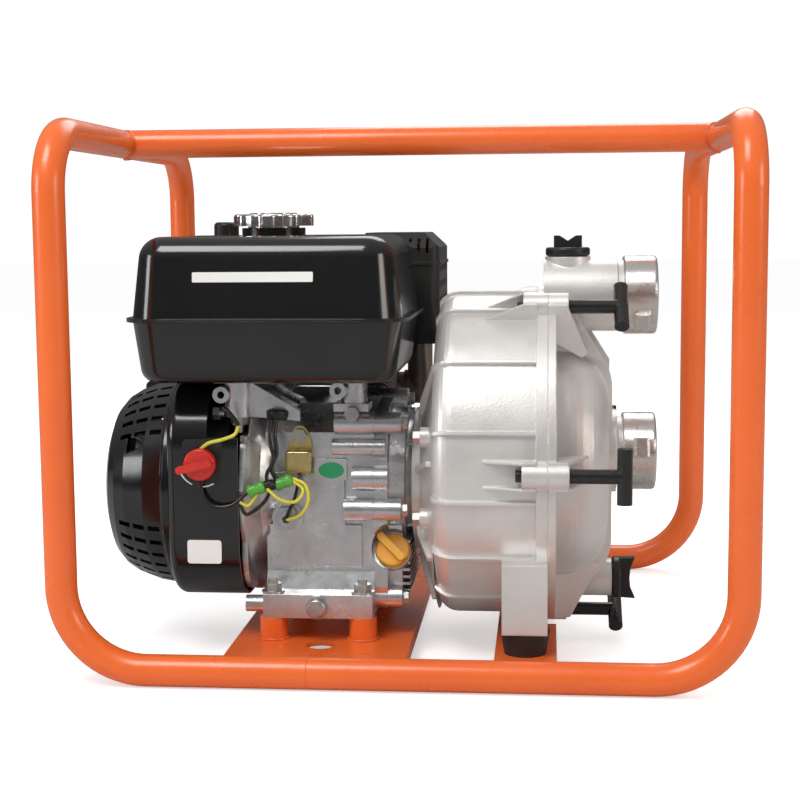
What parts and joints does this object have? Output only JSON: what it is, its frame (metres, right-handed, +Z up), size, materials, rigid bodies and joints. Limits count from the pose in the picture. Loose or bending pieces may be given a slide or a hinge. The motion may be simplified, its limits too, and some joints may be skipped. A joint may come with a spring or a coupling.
{
  "type": "portable fire pump",
  "caption": "Petrol engine driven centrifugal fire pump in a welded tubular carry frame, with recoil starter, fuel tank, clamp-bolted pump cover and threaded hose ports.",
  "frame": {"origin": "on the ground at the centre of the carry frame's footprint", "axes": "+Z up, +X along the crankshaft from the recoil starter to the hose ports, -Y towards the operator's side"},
  "size_m": [0.5584, 0.4688, 0.4492],
  "materials": {
    "frame_orange": "satin powder coat",
    "zinc_steel": "satin zinc plate",
    "black_rubber": "matte",
    "cast_aluminium": "as cast",
    "machined_steel": "ground",
    "painted_black": "gloss",
    "cast_iron": "as cast",
    "black_plastic": "matte",
    "gloss_black_plastic": "semi gloss",
    "red_plastic": "semi gloss",
    "amber_plastic": "semi gloss",
    "ceramic_white": "glazed",
    "gold_zinc": "yellow passivated",
    "wire_insulation": "semi matte",
    "polished_metal": "polished",
    "rope": "braided",
    "filter_foam": "open cell foam"
  },
  "bodies": {
    "machine": {"frame_hoop_left": "frame_orange", "frame_hoop_right": "frame_orange", "top_rail": "frame_orange", "base_plate": "frame_orange", "pump_cross_member": "frame_orange", "mount_bolts": "zinc_steel", "pump_rubber_mounts": "black_rubber", "crankcase": "cast_aluminium", "crankcase_cover": "cast_aluminium", "engine_bolts": "zinc_steel", "crank_bearings": "machined_steel", "piston": "cast_aluminium", "cylinder_head": "cast_aluminium", "rocker_cover": "painted_black", "spark_plug": "ceramic_white", "fan_housing": "painted_black", "recoil_cover": "painted_black", "switch_base": "black_plastic", "oil_drain_bolt": "zinc_steel", "oil_alert": "gold_zinc", "wiring": "wire_insulation", "tank_brackets": "cast_aluminium", "tank_upper": "painted_black", "tank_lower": "painted_black", "muffler": "machined_steel", "muffler_guard": "painted_black", "carburetor": "cast_aluminium", "air_cleaner_case": "gloss_black_plastic", "air_filter": "filter_foam", "air_cleaner_cover": "gloss_black_plastic", "control_plate": "zinc_steel", "pump_bracket": "cast_aluminium", "pump_casing": "cast_aluminium", "casing_seal": "black_rubber", "volute": "cast_iron", "shaft_seal": "black_rubber"},
    "rotor": {"crankshaft": "machined_steel", "flywheel": "cast_iron", "impeller": "cast_iron"},
    "recoil_pulley": {"recoil_pulley": "black_plastic"},
    "starter_handle": {"starter_rope": "rope", "starter_grip": "black_plastic"},
    "fuel_cap": {"fuel_cap": "polished_metal"},
    "stop_switch": {"switch_knob": "red_plastic"},
    "choke_lever": {"choke_lever": "black_plastic"},
    "fuel_valve_lever": {"fuel_valve_lever": "black_plastic"},
    "throttle_lever": {"throttle_lever": "black_plastic"},
    "oil_filler_cap": {"oil_filler_cap": "amber_plastic"},
    "air_cleaner_knob": {"air_cleaner_knob": "black_plastic"},
    "pump_cover": {"pump_cover": "cast_aluminium"},
    "check_flap": {"check_flap": "black_rubber"},
    "fill_plug": {"fill_plug": "black_plastic"},
    "drain_plug": {"drain_plug": "black_plastic"},
    "suction_collar": {"suction_collar": "polished_metal"},
    "discharge_collar": {"discharge_collar": "polished_metal"},
    "clamp_bolt_1": {"clamp_bolt_1": "black_rubber"},
    "clamp_bolt_2": {"clamp_bolt_2": "black_rubber"},
    "clamp_bolt_3": {"clamp_bolt_3": "black_rubber"},
    "clamp_bolt_4": {"clamp_bolt_4": "black_rubber"},
    "clamp_bolt_5": {"clamp_bolt_5": "black_rubber"}
  },
  "joints": [
    {"name": "crank_spin", "type": "hinge", "parent": "machine", "child": "rotor", "pos_m": [0, -0.05, 0.141], "axis": [1, 0, 0], "continuous": true},
    {"name": "starter_pull", "type": "slide", "parent": "machine", "child": "starter_handle", "axis": [0, 0, 1], "range_m": [0, 0.18], "deforming": ["starter_rope"]},
    {"name": "recoil_pulley_turn", "type": "hinge", "parent": "machine", "child": "recoil_pulley", "pos_m": [-0.243, -0.05, 0.141], "axis": [1, 0, 0], "range_deg": [0, 210]},
    {"name": "fuel_cap_turn", "type": "hinge", "parent": "machine", "child": "fuel_cap", "pos_m": [-0.116, -0.08, 0.362], "axis": [0, 0, 1], "range_deg": [0, 90]},
    {"name": "stop_switch_turn", "type": "hinge", "parent": "machine", "child": "stop_switch", "pos_m": [-0.167, -0.155, 0.168], "axis": [0, 1, 0], "range_deg": [0, 45]},
    {"name": "choke_turn", "type": "hinge", "parent": "machine", "child": "choke_lever", "pos_m": [-0.154, 0.11195, 0.20439], "axis": [0, 1, 0], "range_deg": [-20, 25]},
    {"name": "fuel_valve_turn", "type": "hinge", "parent": "machine", "child": "fuel_valve_lever", "pos_m": [-0.146, 0.11195, 0.17339], "axis": [0, 1, 0], "range_deg": [0, 60]},
    {"name": "throttle_turn", "type": "hinge", "parent": "machine", "child": "throttle_lever", "pos_m": [-0.155, 0.058, 0.228], "axis": [0, 0, 1], "range_deg": [-30, 30]},
    {"name": "oil_cap_turn", "type": "hinge", "parent": "machine", "child": "oil_filler_cap", "pos_m": [-0.0124, -0.098, 0.0795], "axis": [0, -0.8829, 0.4695], "range_deg": [0, 1080]},
    {"name": "air_cleaner_knob_turn", "type": "hinge", "parent": "machine", "child": "air_cleaner_knob", "pos_m": [-0.194, 0.098, 0.35], "axis": [0, 0, 1], "range_deg": [0, 1440]},
    {"name": "pump_cover_slide", "type": "slide", "parent": "machine", "child": "pump_cover", "axis": [1, 0, 0], "range_m": [0, 0.12]},
    {"name": "check_flap_swing", "type": "hinge", "parent": "pump_cover", "child": "check_flap", "pos_m": [0.1607, -0.05, 0.199], "axis": [0, 1, 0], "range_deg": [0, 45]},
    {"name": "fill_plug_turn", "type": "hinge", "parent": "pump_cover", "child": "fill_plug", "pos_m": [0.134, -0.05, 0.334], "axis": [0, 0, 1], "range_deg": [0, 1080]},
    {"name": "drain_plug_turn", "type": "hinge", "parent": "pump_cover", "child": "drain_plug", "pos_m": [0.173, -0.05, 0.054], "axis": [1, 0, 0], "range_deg": [0, 1080]},
    {"name": "suction_collar_turn", "type": "hinge", "parent": "pump_cover", "child": "suction_collar", "pos_m": [0.19, -0.05, 0.166], "axis": [1, 0, 0], "continuous": true},
    {"name": "discharge_collar_turn", "type": "hinge", "parent": "pump_cover", "child": "discharge_collar", "pos_m": [0.19, -0.05, 0.301], "axis": [1, 0, 0], "continuous": true},
    {"name": "clamp_bolt_1_turn", "type": "hinge", "parent": "pump_cover", "child": "clamp_bolt_1", "pos_m": [0.134, -0.11086, 0.29401], "axis": [1, 0, 0], "range_deg": [0, 1440]},
    {"name": "clamp_bolt_2_turn", "type": "hinge", "parent": "pump_cover", "child": "clamp_bolt_2", "pos_m": [0.134, -0.19398, 0.16601], "axis": [1, 0, 0], "range_deg": [0, 1440]},
    {"name": "clamp_bolt_3_turn", "type": "hinge", "parent": "pump_cover", "child": "clamp_bolt_3", "pos_m": [0.134, 0.01086, 0.29401], "axis": [1, 0, 0], "range_deg": [0, 1440]},
    {"name": "clamp_bolt_4_turn", "type": "hinge", "parent": "pump_cover", "child": "clamp_bolt_4", "pos_m": [0.134, 0.09398, 0.16601], "axis": [1, 0, 0], "range_deg": [0, 1440]},
    {"name": "clamp_bolt_5_turn", "type": "hinge", "parent": "pump_cover", "child": "clamp_bolt_5", "pos_m": [0.134, -0.03762, 0.02204], "axis": [1, 0, 0], "range_deg": [-28, 28]}
  ],
  "couplings": [
    {"joint": "recoil_pulley_turn", "follows": "starter_pull", "rad_per_m": 20}
  ]
}
